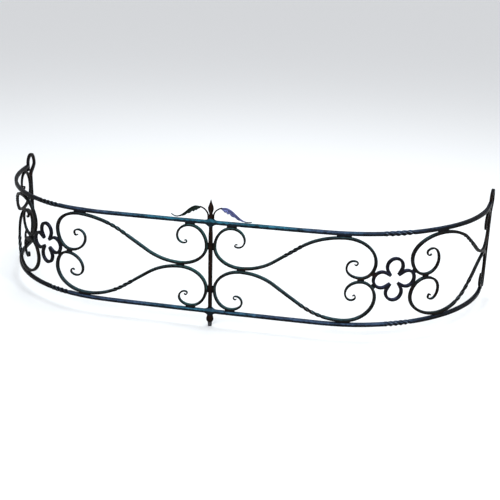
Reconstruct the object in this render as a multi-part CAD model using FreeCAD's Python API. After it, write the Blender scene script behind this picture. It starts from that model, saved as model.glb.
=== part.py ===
import FreeCAD, Part
import math
import os

# Bow-fronted wrought-iron hearth screen.  Millimetres, +Z up, the front faces -Y.
# Everything is laid out on the unrolled line of the rails: s runs along the rail from the
# centre post, z is the height above the bottom rail and "out" is towards the front.

V = FreeCAD.Vector
os.makedirs("parts", exist_ok=True)

# ---- plan of the rails, right half ----
FRONT_HALF = 316.0      # nearly straight front, from the centre post
FRONT_RADIUS = 16400.0  # very slight bow of that front
CORNER_RADIUS = 469.0   # big rounded corner
CORNER_TURN = 80.6      # degrees
HALF_LENGTH = 1046.0    # centre post to end post along the rail, the rest is the straight return

# ---- heights ----
RAIL_GAP = 270.0        # between the centrelines of the two rails
MID = RAIL_GAP / 2
FOOT_DROP = 46.0        # bottom rail centreline to the floor under the front foot

# ---- bar stock ----
RAIL = 11.0
SCROLL = 8.8
PETAL = 8.8
STEM = 4.6
EDGE = 0.1              # broken edges, as a share of the bar
PATCH = 6               # sections spanned by one face of a curved bar
CLEAR = 0.02            # between a weld block and a curved bar

# ---- rails ----
EYE_HALF = 17.0         # half length of the swelling where the post passes through
EYE_DEEP = 15.0         # how much wider the rail is there, front to back
EYE_TALL = 6.0          # how much taller
# twisted accents near the quatrefoils: (s of the middle, half length) on each rail, left and right
TOP_TWISTS = {-1: (521.0, 42.0), 1: (531.0, 44.0)}
BOTTOM_TWISTS = {-1: (494.0, 42.0), 1: (546.0, 39.0)}
TWIST_QUARTERS = 5
TWIST_SWELL = 1.08
RAIL_SPLIT = 790.0      # where the corner's bar is parted into two lengths

# ---- S scrolls: points where the bar runs level or upright, (s, rise above mid height) ----
# the lower ones are hung upside down; the outer ones are measured back from the end post
SMALL_CURLS = {
    "upper": [(90, 5.7), (12.2, 63.5), (61, 121.8), (99, 88), (80, 67.3), (70.3, 71.2), (74.5, 76),
              (77.5, 73.5)],
    "lower": [(90, 5.7), (12.2, 66), (59, 122.8), (94, 99), (76.5, 80.5), (69, 85.5), (74, 91.3), (78, 87.5)],
}
SMALL_BARS = [8.8, 8.8, 7.8, 5.8, 4.4, 3.6, 3.2, 2.8]
BIG_CURLS = {
    "right_inner_upper": [(376, 121.8), (468.5, 50), (430, 5.7), (387.3, 34), (405.8, 56.2), (418.8, 50.5),
                          (413, 43.3), (409.5, 47.5)],
    "right_inner_lower": [(386, 122.8), (471, 53.3), (428, 5.7), (387.5, 39.4), (404.6, 59.8), (416.8, 51.8),
                          (413, 45), (409.5, 49)],
    "left_inner_upper": [(400, 121.8), (487, 61), (440, 5.7), (383.5, 49.7), (405.8, 72), (421.8, 62),
                         (415.5, 53.5), (410, 58)],
    "left_inner_lower": [(393, 122.8), (495, 58), (447, 5.7), (395.4, 47.3), (421.6, 72.8), (440, 64),
                         (432.3, 54.8), (428, 59)],
    "right_outer_upper": [(368, 121.8), (468.5, 58), (420, 5.7), (376, 45), (402.2, 80), (420, 70),
                          (411.4, 60), (406, 65)],
    "right_outer_lower": [(358, 122.8), (467, 56), (420, 5.7), (370, 44.6), (392, 74.5), (404.8, 66.7),
                          (399.7, 58.7), (396, 64)],
    "left_outer_upper": [(366, 121.8), (450, 56), (405, 5.7), (358, 45), (384, 78), (401, 68), (393, 58.5),
                         (388, 63)],
    "left_outer_lower": [(354, 122.8), (456, 56), (410, 5.7), (354, 44.6), (376, 74), (389, 66.5), (384, 58.7),
                         (380, 63)],
}
BIG_BARS = [8.8, 8.8, 8, 6.2, 5.2, 4.2, 3.6, 3]
SWEEP_LOW = 0.40        # bend leaving the waist and bend arriving at the rail, as shares of
SWEEP_HIGH = 0.525      # the largest pair of bends that would fit
# twisted accents on the long diagonals, from s to s
TWISTS = {
    "right_inner_upper": (212, 264),
    "right_inner_lower": (262, 328),
    "left_inner_upper": (250, 314),
    "left_inner_lower": (236, 298),
    "right_outer_upper": (212, 276),
    "right_outer_lower": (206, 286),
    "left_outer_upper": (216, 280),
    "left_outer_lower": (206, 276),
}

# ---- quatrefoils ----
QUATREFOILS = {-1: (540.0, 5.0), 1: (526.0, 0.0)}   # s and rise of the middle, left and right
PETAL_RADIUS = 23.5
PETAL_CENTRE = 38.0     # from the middle of the quatrefoil
PETAL_LAP = 30.0        # degrees below level where a petal's legs run straight
PETAL_TIP = 10.8        # legs are cut this far from the middle lines

# ---- end posts ----
END_DROP = 12.0         # the post runs this far under the bottom rail centreline
NECK = 232.0
LOOP_BACK = (44.5, 268.0)
LOOP_TOP = (12.0, 303.0)
LOOP_FRONT = (-21.0, 279.0)
LOOP_END = 252.0
LOOP_BAR = 9.5

# ---- leaves, heights above the top rail centreline ----
LEAF_BASE = 9.8
LEAF_BEND = 17.5
LEAF_TOP = (42.0, 45.0)
LEAF_LOW = {-1: (101.0, 10.5), 1: (104.0, 9.8)}     # left and right
LEAF_TAIL = {-1: (116.5, 17.5), 1: (119.0, 11.5)}
LEAF_WIDE = 13.0        # one half of the folded blade, measured down its slope
LEAF_FOLD = 52.0        # degrees each half hangs down from level
LEAF_SHEET = 2.0
LEAF_TEETH = 5

# ---- finial and foot: (radius, height) ----
POST_TOP = 23.0         # above the top rail centreline
FINIAL = [(5.1, 23.0), (5.2, 27.0), (7.0, 32.0), (8.8, 38.5), (8.2, 44.5), (5.9, 51.0), (3.6, 57.0), (2.0, 62.5),
          (0.5, 67.5)]
KNOB_TOP = -9.4         # from the bottom rail centreline
KNOB = [(6.0, -9.4), (8.6, -14.0), (10.8, -22.0), (10.0, -28.0), (7.2, -32.4)]
STUB_TOP_RADIUS = 6.4
STUB_FOOT_RADIUS = 5.6


def turn_point(angle, start, radius):
    """Plan point on the corner arc, angle in radians from the front centre."""
    first = FRONT_HALF / FRONT_RADIUS
    x = start[0] + radius * (math.sin(angle) - math.sin(first))
    y = start[1] + radius * (math.cos(first) - math.cos(angle))
    return x, y


def plan(s):
    """Plan position and heading of the rail line at s, right half."""
    first = FRONT_HALF / FRONT_RADIUS
    last = first + math.radians(CORNER_TURN)
    start = (FRONT_RADIUS * math.sin(first), FRONT_RADIUS * (1 - math.cos(first)))
    corner_end = FRONT_HALF + CORNER_RADIUS * math.radians(CORNER_TURN)
    if s <= FRONT_HALF:
        angle = s / FRONT_RADIUS
        return FRONT_RADIUS * math.sin(angle), FRONT_RADIUS * (1 - math.cos(angle)), angle
    if s <= corner_end:
        angle = first + (s - FRONT_HALF) / CORNER_RADIUS
        x, y = turn_point(angle, start, CORNER_RADIUS)
        return x, y, angle
    x, y = turn_point(last, start, CORNER_RADIUS)
    rest = s - corner_end
    return x + rest * math.cos(last), y + rest * math.sin(last), last


def at(s, z, out):
    """Point of the unrolled layout in space; a negative s is the left half."""
    side = -1 if s < 0 else 1
    x, y, angle = plan(abs(s))
    return V(side * (x + out * math.sin(angle)), y - out * math.cos(angle), z)


def steps(low, high, count):
    """count + 1 evenly spaced values."""
    return [low + (high - low) * i / count for i in range(count + 1)]


def section(s, z, ds, dz, tall, deep, twist):
    """Square bar with broken edges, across the direction (ds, dz)."""
    size = math.hypot(ds, dz)
    nx = -dz / size
    nz = ds / size
    p = tall / 2
    q = deep / 2
    e = EDGE * tall
    outline = [(p - e, q), (p, q - e), (p, e - q), (p - e, -q),
               (e - p, -q), (-p, e - q), (-p, q - e), (e - p, q)]
    c = math.cos(twist)
    d = math.sin(twist)
    turned = [(u * c - v * d, u * d + v * c) for u, v in outline]
    return [at(s + u * nx, z + u * nz, v) for u, v in turned]


def solid_from(faces):
    """Closed solid with its faces turned outwards."""
    shell = Part.makeShell(faces)
    shell.sewShape()
    body = Part.makeSolid(shell)
    if body.Volume < 0:
        body.reverse()
    return body


def cap(row):
    """End of a bar: triangles round its middle, because a bent bar's end is not quite flat."""
    middle = sum(row, V()) * (1.0 / len(row))
    ring = row + [row[0]]
    return [Part.Face(Part.makePolygon([middle, a, b, middle])) for a, b in zip(ring, ring[1:])]


def facing(face, spot, outwards):
    """The face, turned so that its normal at the spot points outwards."""
    u, v = face.Surface.parameter(spot)
    if face.normalAt(u, v).dot(outwards) < 0:
        face.reverse()
    return face


def between(a, b):
    """Face stretched straight across from one edge curve to its neighbour."""
    surface = Part.BSplineSurface()
    surface.buildFromPolesMultsKnots([list(pair) for pair in zip(a.getPoles(), b.getPoles())],
                                     a.getMultiplicities(), [2, 2], a.getKnots(), [0.0, 1.0],
                                     False, False, a.Degree, 1)
    return surface.toShape()


def skin(groups):
    """Solid through rows of sections; neighbouring groups share a section."""
    faces = []
    for group in groups:
        count = len(group[0])
        middles = [sum(row, V()) * (1.0 / count) for row in group]
        along = [0.0]
        for a, b in zip(middles, middles[1:]):
            along.append(along[-1] + (b - a).Length)
        curves = []
        for i in range(count):
            curve = Part.BSplineCurve()
            curve.interpolate(Points=[row[i] for row in group], Parameters=along)
            curves.append(curve)
        cuts = list(range(0, len(group) - 1, PATCH)) + [len(group) - 1]
        for low, high in zip(cuts, cuts[1:]):
            pieces = []
            for curve in curves:
                piece = curve.copy()
                if len(cuts) > 2:
                    piece.segment(along[low], along[high])
                pieces.append(piece)
            for i in range(count):
                face = between(pieces[i], pieces[(i + 1) % count])
                spot = (group[low][i] + group[low][(i + 1) % count]) * 0.5
                faces.append(facing(face, spot, spot - middles[low]))
    first = groups[0][0]
    last = groups[-1][-1]
    for row, inner in ((first, groups[0][1]), (last, groups[-1][-2])):
        for face in cap(row):
            faces.append(facing(face, face.CenterOfMass, row[0] - inner[0]))
    return solid_from(faces)


def quarter(a, b, level_first, count):
    """Quarter of an ellipse from a to b as (s, rise, ds, dr)."""
    dx = b[0] - a[0]
    dz = b[1] - a[1]
    rows = []
    for t in steps(0, math.pi / 2, count):
        if level_first:
            place = (a[0] + dx * math.sin(t), a[1] + dz * (1 - math.cos(t)))
            rows.append(place + (dx * math.cos(t), dz * math.sin(t)))
        else:
            place = (a[0] + dx * (1 - math.cos(t)), a[1] + dz * math.sin(t))
            rows.append(place + (dx * math.sin(t), dz * math.cos(t)))
    return rows


def curl(points, bars, count):
    """Quarter ellipses chained through the points, each row with its bar size."""
    rows = []
    for i in range(len(points) - 1):
        piece = quarter(points[i], points[i + 1], i % 2 == 0, count)
        sizes = steps(bars[i], bars[i + 1], count)
        for row, size in list(zip(piece, sizes))[1 if i else 0:]:
            rows.append(row + (size,))
    return rows


def sweep(s, low, high):
    """Diagonal of a scroll at s, from the waist point to the rail point: bend, straight, bend."""
    dx = high[0] - low[0]
    dz = high[1] - low[1]
    largest = (dx * dx + dz * dz) / (2 * dz)
    first = SWEEP_LOW * largest
    second = SWEEP_HIGH * largest
    both = first + second
    angle = math.asin(both / math.hypot(dx, both - dz)) - math.atan2(both - dz, dx)
    if s < low[0] + first * math.sin(angle):
        a = math.asin((s - low[0]) / first)
        return s, low[1] + first * (1 - math.cos(a)), math.cos(a), math.sin(a), SCROLL
    if s > high[0] - second * math.sin(angle):
        a = math.asin((high[0] - s) / second)
        return s, high[1] - second * (1 - math.cos(a)), math.cos(a), math.sin(a), SCROLL
    run = s - low[0] - first * math.sin(angle)
    rise = low[1] + first * (1 - math.cos(angle)) + run * math.tan(angle)
    return s, rise, math.cos(angle), math.sin(angle), SCROLL


def scroll(name, side, outer, upper):
    """One S scroll; side is -1 left or 1 right."""
    small = SMALL_CURLS["upper" if upper else "lower"]
    big = BIG_CURLS[name]
    accent = TWISTS[name]
    small_rows = curl(small, SMALL_BARS, 7)
    small_rows = [(s, r, -ds, -dr, size) for s, r, ds, dr, size in reversed(small_rows)]
    big_rows = curl(big, BIG_BARS, 7)
    parts = [small_rows[:-1] + [sweep(s, small[0], big[0]) for s in steps(small[0][0], accent[0], 8)],
             [sweep(s, small[0], big[0]) for s in steps(accent[0], accent[1], 16)],
             [sweep(s, small[0], big[0]) for s in steps(accent[1], big[0][0], 6)] + big_rows[1:]]
    groups = []
    for number, part in enumerate(parts):
        group = []
        for i, (s, r, ds, dr, size) in enumerate(part):
            if outer:
                s = HALF_LENGTH - s
                ds = -ds
            if not upper:
                r = -r
                dr = -dr
            twist = 2 * math.pi * i / (len(part) - 1) if number == 1 else 0.0
            group.append(section(side * s, MID + r, side * ds, dr, size, (SCROLL + size) / 2, twist))
        groups.append(group)
    return skin(groups)


def rail(z, end, accents):
    """Rail from end to end: returns, corners, twisted accents, and the eye at the centre.

    The bar is laid down in lengths that meet face to face, so that each keeps to the bow.
    """
    def plain(low, high, count):
        return [section(s, z, 1, 0, RAIL, RAIL, 0) for s in steps(low, high, count)]

    def twisted(low, high):
        rows = []
        for i, s in enumerate(steps(low, high, 20)):
            share = i / 20
            swell = 1 + (TWIST_SWELL - 1) * math.sin(math.pi * share)
            rows.append(section(s, z, 1, 0, RAIL * swell, RAIL * swell, share * TWIST_QUARTERS * math.pi / 2))
        return rows

    def eye():
        rows = []
        for s in steps(-EYE_HALF, EYE_HALF, 12):
            bump = math.cos(math.pi / 2 * s / EYE_HALF) ** 2
            rows.append(section(s, z, 1, 0, RAIL + EYE_TALL * bump, RAIL + EYE_DEEP * bump, 0))
        return rows

    middle, half = accents[1]
    low = middle - half
    high = middle + half
    right = [plain(EYE_HALF, FRONT_HALF, 6), plain(FRONT_HALF, low, 5), twisted(low, high),
             plain(high, RAIL_SPLIT, 7), plain(RAIL_SPLIT, end, 7)]
    middle, half = accents[-1]
    low = middle - half
    high = middle + half
    left = [plain(-end, -RAIL_SPLIT, 7), plain(-RAIL_SPLIT, -high, 7), twisted(-high, -low),
            plain(-low, -FRONT_HALF, 5), plain(-FRONT_HALF, -EYE_HALF, 6)]
    return Part.makeCompound([skin([length]) for length in left + [eye()] + right])


def local_box(s, z, tilt, along, across, deep):
    """Box centred on the layout at (s, z), its length tilted in the plane of the ironwork."""
    box = Part.makeBox(along, deep, across, V(-along / 2, -deep / 2, -across / 2))
    box.rotate(V(), V(0, 1, 0), -tilt if s > 0 else tilt)
    heading = math.degrees(plan(abs(s))[2])
    box.rotate(V(), V(0, 0, 1), heading if s > 0 else -heading)
    box.translate(at(s, z, 0))
    return box


def petal(middle, rise, quarter_turns):
    """One C-shaped petal of a quatrefoil, turned about the quatrefoil's middle."""
    side = -1 if middle < 0 else 1
    lap = math.radians(PETAL_LAP)
    rows = []
    for angle in steps(math.pi + lap, -lap, 20):
        u = PETAL_RADIUS * math.cos(angle)
        w = PETAL_CENTRE + PETAL_RADIUS * math.sin(angle)
        rows.append((u, w, math.sin(angle), -math.cos(angle)))
    first = rows[0]
    last = rows[-1]
    leg = 30.0
    rows.insert(0, (first[0] - leg * first[2], first[1] - leg * first[3], first[2], first[3]))
    rows.append((last[0] + leg * last[2], last[1] + leg * last[3], last[2], last[3]))
    c = round(math.cos(quarter_turns * math.pi / 2))
    d = round(math.sin(quarter_turns * math.pi / 2))
    turned = []
    for u, w, du, dw in rows:
        turned.append((u * c + w * d, w * c - u * d, du * c + dw * d, dw * c - du * d))
    legs = [turned[:2], turned[1:-1], turned[-2:]]
    groups = [[section(middle + side * u, MID + rise + w, side * du, dw, PETAL, PETAL, 0) for u, w, du, dw in part]
              for part in legs]
    bar = skin(groups)
    wedge = Part.Face(Part.makePolygon([V(-PETAL_TIP, 0, PETAL_TIP), V(PETAL_TIP, 0, PETAL_TIP), V(80, 0, 80),
                                        V(-80, 0, 80), V(-PETAL_TIP, 0, PETAL_TIP)]))
    wedge.translate(V(0, -30, 0))
    cutter = wedge.extrude(V(0, 60, 0))
    cutter.rotate(V(), V(0, 1, 0), 90 * quarter_turns * side)
    heading = math.degrees(plan(abs(middle))[2])
    cutter.rotate(V(), V(0, 0, 1), heading * side)
    cutter.translate(at(middle, MID + rise, 0))
    return bar.common(cutter).Solids[0]


def end_post(side):
    """Square post whose top is bent into an open eye: back, over the top and down at the front."""
    def rows_to_sections(rows):
        return [section(side * (HALF_LENGTH + s), z, side * ds, dz, size, size, 0) for s, z, ds, dz, size in rows]

    shaft = [(0.0, -END_DROP, 0, 1, RAIL * 0.94), (0.0, -END_DROP + 3, 0, 1, RAIL)]
    upright = [(0.0, -END_DROP + 3, 0, 1, RAIL), (0.0, NECK, 0, 1, RAIL)]
    neck = []
    for q in steps(0, 1, 12):
        s = LOOP_BACK[0] * (1 - math.cos(math.pi * q)) / 2
        slope = LOOP_BACK[0] * math.pi * math.sin(math.pi * q) / 2
        z = NECK + (LOOP_BACK[1] - NECK) * q
        neck.append((s, z, slope, LOOP_BACK[1] - NECK, RAIL + (LOOP_BAR - RAIL) * q))
    back = [row + (LOOP_BAR,) for row in quarter(LOOP_BACK, LOOP_TOP, False, 8)]
    front = [row + (LOOP_BAR,) for row in quarter(LOOP_TOP, LOOP_FRONT, True, 8)]
    leg = [(LOOP_FRONT[0], LOOP_FRONT[1], 0, -1, LOOP_BAR), (LOOP_FRONT[0], LOOP_END, 0, -1, LOOP_BAR)]
    loop = neck + back[1:] + front[1:]
    return skin([rows_to_sections(shaft), rows_to_sections(upright), rows_to_sections(loop), rows_to_sections(leg)])


def leaf_line(side, share):
    """Midrib of the leaf beyond the stem: share 0 at the stem, 1 at the tip of the tail."""
    start = STEM_ARC[-1]
    foot = LEAF_LOW[side]
    tip = LEAF_TAIL[side]
    s = start[0] + (tip[0] - start[0]) * share
    if s < LEAF_TOP[0]:
        base = (RAIL / 2 + STEM / 2, LEAF_BEND)
        c = 1 - (s - base[0]) / (LEAF_TOP[0] - base[0])
        t = math.acos(c)
        rise = base[1] + (LEAF_TOP[1] - base[1]) * math.sin(t)
        return s, rise, (LEAF_TOP[0] - base[0]) * math.sin(t), (LEAF_TOP[1] - base[1]) * math.cos(t)
    if s < foot[0]:
        span = foot[0] - LEAF_TOP[0]
        fall = foot[1] - LEAF_TOP[1]
        q = (s - LEAF_TOP[0]) / span
        turn = math.pi * q
        return s, LEAF_TOP[1] + fall * (1 - math.cos(turn)) / 2, span, fall * math.pi * math.sin(turn) / 2
    span = tip[0] - foot[0]
    lift = tip[1] - foot[1]
    q = (s - foot[0]) / span
    return s, foot[1] + lift * q * q, span, 2 * lift * q


STEM_ARC = quarter((RAIL / 2 + STEM / 2, LEAF_BEND), LEAF_TOP, False, 12)[:10]


def stem(side):
    """Thin square stem lying against the post, then arching outwards."""
    x = RAIL / 2 + STEM / 2
    straight = [(x, LEAF_BASE, 0, 1), (x, LEAF_BEND, 0, 1)]
    groups = []
    for part in (straight, STEM_ARC):
        groups.append([section(side * s, RAIL_GAP + r, side * ds, dr, STEM, STEM, 0) for s, r, ds, dr in part])
    return skin(groups)


def leaf(side):
    """Folded, toothed blade running out into a thin upturned tail."""
    rows = []
    blade_end = 0.74
    count = 60
    for i in range(count + 1):
        share = i / count
        s, rise, ds, dr = leaf_line(side, share)
        size = math.hypot(ds, dr)
        nx = -dr / size
        nz = ds / size
        width = 2.0
        if share < blade_end:
            b = share / blade_end
            tooth = (b * LEAF_TEETH) % 1.0
            notch = 0.74 + 0.26 * math.sin(math.pi * tooth) ** 0.8
            width += LEAF_WIDE * math.sin(math.pi * b ** 0.62) ** 1.1 * notch
        width -= 0.9 * max(0.0, share - 0.9) / 0.1
        fold = math.radians(LEAF_FOLD)
        a = width * math.cos(fold)
        drop = width * math.sin(fold)
        t = LEAF_SHEET
        outline = [(a, -drop), (0.0, 1.0), (-a, -drop), (-a, -drop - t), (0.0, 1.0 - 1.6 * t), (a, -drop - t)]
        rows.append([at(side * (s + n * nx), RAIL_GAP + rise + n * nz, o) for o, n in outline])
    return skin([rows])


def turned(profile, floor):
    """Round piece about the post's axis from a smooth profile."""
    points = [V(r, 0, floor + z) for r, z in profile]
    curve = Part.BSplineCurve()
    curve.interpolate(points)
    top = V(0, 0, points[-1].z)
    bottom = V(0, 0, points[0].z)
    outline = Part.Wire([curve.toShape(), Part.makeLine(points[-1], top), Part.makeLine(top, bottom),
                         Part.makeLine(bottom, points[0])])
    body = Part.Face(outline).revolve(V(), V(0, 0, 1), 360)
    if body.Volume < 0:
        body.reverse()
    return body


def prism(low, high):
    """The centre post: the rail's own section, standing."""
    e = EDGE * RAIL
    h = RAIL / 2
    outline = [(h - e, h), (h, h - e), (h, e - h), (h - e, -h),
               (e - h, -h), (-h, e - h), (-h, h - e), (e - h, h)]
    ring = [V(x, y, low) for x, y in outline]
    return Part.Face(Part.makePolygon(ring + [ring[0]])).extrude(V(0, 0, high - low))


def lobe_gap(points, lobe):
    """Place, lean and width of the gap between a big curl and the petal arc about the lobe point."""
    best = None
    for first, second, level, bars in ((0, 1, True, BIG_BARS[:2]), (1, 2, False, BIG_BARS[1:3])):
        for i, (s, r, ds, dr) in enumerate(quarter(points[first], points[second], level, 200)):
            away = math.hypot(s - lobe[0], r - lobe[1])
            bar = bars[0] + (bars[1] - bars[0]) * i / 200
            width = away - PETAL_RADIUS - PETAL / 2 - bar / 2
            if best is None or width < best[0]:
                best = (width, math.atan2(r - lobe[1], s - lobe[0]))
    width, lean = best
    reach = PETAL_RADIUS + PETAL / 2 + width / 2
    return lobe[0] + reach * math.cos(lean), lobe[1] + reach * math.sin(lean), math.degrees(lean), width


nodes = {}

# rails, posts and the pieces on the centre post
post = prism(KNOB_TOP, RAIL_GAP + POST_TOP)
top_end = HALF_LENGTH + LOOP_FRONT[0] - LOOP_BAR / 2
nodes["top_rail"] = rail(RAIL_GAP, top_end, TOP_TWISTS).cut(post)
nodes["bottom_rail"] = rail(0.0, HALF_LENGTH - RAIL / 2, BOTTOM_TWISTS).cut(post)
nodes["centre_post"] = post
nodes["post_finial"] = turned(FINIAL, RAIL_GAP)
nodes["foot_knob"] = turned(KNOB, 0.0)
stub = Part.makeCone(STUB_FOOT_RADIUS, STUB_TOP_RADIUS, FOOT_DROP + KNOB[-1][1], V(0, 0, -FOOT_DROP))
nodes["foot_stub"] = stub.makeChamfer(0.8, [e for e in stub.Edges if e.BoundBox.ZMax < -FOOT_DROP + 0.01])
for side, word in ((1, "right"), (-1, "left")):
    nodes[word + "_end_post"] = end_post(side)
    nodes[word + "_leaf_stem"] = stem(side)
    nodes[word + "_leaf_blade"] = leaf(side)

# scrolls and quatrefoils
petal_words = ["top", "outer", "bottom", "inner"]
for side, word in ((1, "right"), (-1, "left")):
    for outer, ring_word in ((False, "inner"), (True, "outer")):
        for upper, level_word in ((True, "upper"), (False, "lower")):
            name = word + "_" + ring_word + "_" + level_word
            nodes[name + "_scroll"] = scroll(name, side, outer, upper)
    for turns, petal_word in enumerate(petal_words):
        middle, rise = QUATREFOILS[side]
        nodes[word + "_" + petal_word + "_petal"] = petal(side * middle, rise, turns)

# welds
welds = {"top_rail_welds": [], "bottom_rail_welds": [], "waist_welds": [], "curl_welds": [],
         "centre_post_welds": [], "end_post_welds": [], "quatrefoil_welds": []}
high = MID - RAIL / 2
for side, word in ((1, "right"), (-1, "left")):
    middle, rise = QUATREFOILS[side]
    for ring_word in ("inner", "outer"):

        def flip(s):
            return side * (s if ring_word == "inner" else HALF_LENGTH - s)

        lobe_s = (middle if ring_word == "inner" else HALF_LENGTH - middle) - PETAL_CENTRE
        bigs = []
        for sign, level_word, group in ((1, "upper", "top_rail_welds"), (-1, "lower", "bottom_rail_welds")):
            small = SMALL_CURLS[level_word]
            big = BIG_CURLS[word + "_" + ring_word + "_" + level_word]
            bigs.append(big)
            for contact, bar in ((small[2], SMALL_BARS[2]), (big[0], BIG_BARS[0])):
                tall = high - contact[1] - bar / 2 - CLEAR
                welds[group].append(local_box(flip(contact[0]), MID + sign * (high - tall / 2), 0, 24, tall, 7))
            gap = small[1][0] - RAIL / 2 - SMALL_BARS[1] / 2 - CLEAR
            spot = MID + sign * small[1][1]
            if ring_word == "inner":
                x = side * (RAIL / 2 + gap / 2)
                welds["centre_post_welds"].append(Part.makeBox(gap, 7, 24, V(x - gap / 2, -3.5, spot - 12)))
            else:
                welds["end_post_welds"].append(local_box(flip(RAIL / 2 + gap / 2), spot, 0, gap, 24, 7))
            s, r, lean, width = lobe_gap(big, (lobe_s, sign * rise))
            print(word, ring_word, level_word, "lobe gap", round(width, 2), "lean", round(lean, 1))
            tilt = sign * lean if ring_word == "inner" else 180 - sign * lean
            welds["quatrefoil_welds"].append(local_box(flip(s), MID + sign * r, tilt, width - 2 * CLEAR, 13, 6))
        tall = 2 * small[0][1] - SMALL_BARS[0] - 2 * CLEAR
        welds["waist_welds"].append(local_box(flip(small[0][0]), MID, 0, 20, tall, 7))
        tall = bigs[0][2][1] + bigs[1][2][1] - BIG_BARS[2] - 2 * CLEAR
        welds["curl_welds"].append(local_box(flip((bigs[0][2][0] + bigs[1][2][0]) / 2), MID, 0, 18, tall, 7))

for name, solids in welds.items():
    nodes[name] = Part.makeCompound(solids)

# set the foot on the floor and centre the plan on the origin
whole = Part.makeCompound(list(nodes.values())).BoundBox
shift = V(0, -(whole.YMin + whole.YMax) / 2, FOOT_DROP)
for name, shape in nodes.items():
    shape.translate(shift)
    shape.exportStep("parts/" + name + ".step")
    print(name, len(shape.Solids), round(shape.Volume, 1), shape.isValid())
box = Part.makeCompound(list(nodes.values())).BoundBox
print("size", round(box.XLength, 1), round(box.YLength, 1), round(box.ZLength, 1), "shift", shift.y)
print("z", box.ZMin, "y", box.YMin, box.YMax)
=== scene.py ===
import math

import bpy
import numpy as np
from mathutils import Matrix, Vector


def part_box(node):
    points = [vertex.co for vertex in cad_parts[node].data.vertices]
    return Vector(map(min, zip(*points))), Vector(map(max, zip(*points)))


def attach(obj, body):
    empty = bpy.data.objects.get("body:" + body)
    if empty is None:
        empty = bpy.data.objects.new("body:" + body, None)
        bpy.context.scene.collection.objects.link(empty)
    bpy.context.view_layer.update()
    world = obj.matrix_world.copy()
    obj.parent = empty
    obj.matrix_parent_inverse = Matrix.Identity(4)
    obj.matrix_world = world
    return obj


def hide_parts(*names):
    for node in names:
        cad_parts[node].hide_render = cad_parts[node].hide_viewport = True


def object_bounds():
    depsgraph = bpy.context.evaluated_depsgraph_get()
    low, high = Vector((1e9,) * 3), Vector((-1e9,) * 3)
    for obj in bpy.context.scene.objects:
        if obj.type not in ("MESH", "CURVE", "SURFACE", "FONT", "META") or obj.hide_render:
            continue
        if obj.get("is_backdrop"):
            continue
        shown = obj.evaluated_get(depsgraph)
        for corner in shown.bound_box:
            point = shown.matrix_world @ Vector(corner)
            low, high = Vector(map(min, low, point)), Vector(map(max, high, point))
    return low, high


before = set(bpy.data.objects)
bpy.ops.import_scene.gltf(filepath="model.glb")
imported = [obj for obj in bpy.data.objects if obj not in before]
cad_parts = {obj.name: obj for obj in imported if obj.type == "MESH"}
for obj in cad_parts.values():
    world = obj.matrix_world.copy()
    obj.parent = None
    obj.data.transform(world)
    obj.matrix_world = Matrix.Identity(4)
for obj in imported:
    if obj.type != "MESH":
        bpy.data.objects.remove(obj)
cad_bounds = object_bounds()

# Hand-forged bow-fronted hearth screen.  Lengths are in millimetres in the unrolled layout of the
# ironwork: s runs along the rails from the centre post, z is the height above the bottom rail's
# centreline, "rise" is the height above the middle between the rails unless stated, and "out" is
# towards the front.  at() turns them into metres in the CAD frame.

MM = 0.001
SIDES = ((1, "right"), (-1, "left"))

# ---------------------------------------------------------------- layout
# plan of the rails: a nearly straight front, a round corner and a straight return
FRONT_HALF = 316.0
FRONT_RADIUS = 16400.0
CORNER_RADIUS = 469.0
CORNER_TURN = math.radians(80.6)
HALF_LENGTH = 1046.0               # s of the end posts

# sides of the square bars
RAIL = 11.0
SCROLL = 8.8
PETAL = 8.8
STEM = 4.6

post_low, post_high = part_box("centre_post")
top_low, top_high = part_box("top_rail")
low_low, low_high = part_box("bottom_rail")
PLAN_Y = (post_low[1] + post_high[1]) / 2 / MM
BASE_Z = (low_low[2] + low_high[2]) / 2 / MM
RAIL_GAP = (top_low[2] + top_high[2]) / 2 / MM - BASE_Z
MID = RAIL_GAP / 2
RAIL_FACE = MID - RAIL / 2         # rise of the rails' inner faces
FLOOR_Z = cad_bounds[0][2]

# rails: the eye round the centre post, and the (middle, half length) of each twisted accent by side
EYE_HALF = 17.0
EYE_TALLER = 6.0
EYE_DEEPER = 15.0
TOP_TWISTS = {-1: (521.0, 42.0), 1: (531.0, 44.0)}
BOTTOM_TWISTS = {-1: (494.0, 42.0), 1: (546.0, 39.0)}
ACCENT_QUARTERS = 5                # quarter turns in an accent
ACCENT_SWELL = 0.08
RAIL_STEP = 1.5
RAIL_BITE = 1.5                    # how far a rail's end runs into the end post

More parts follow.
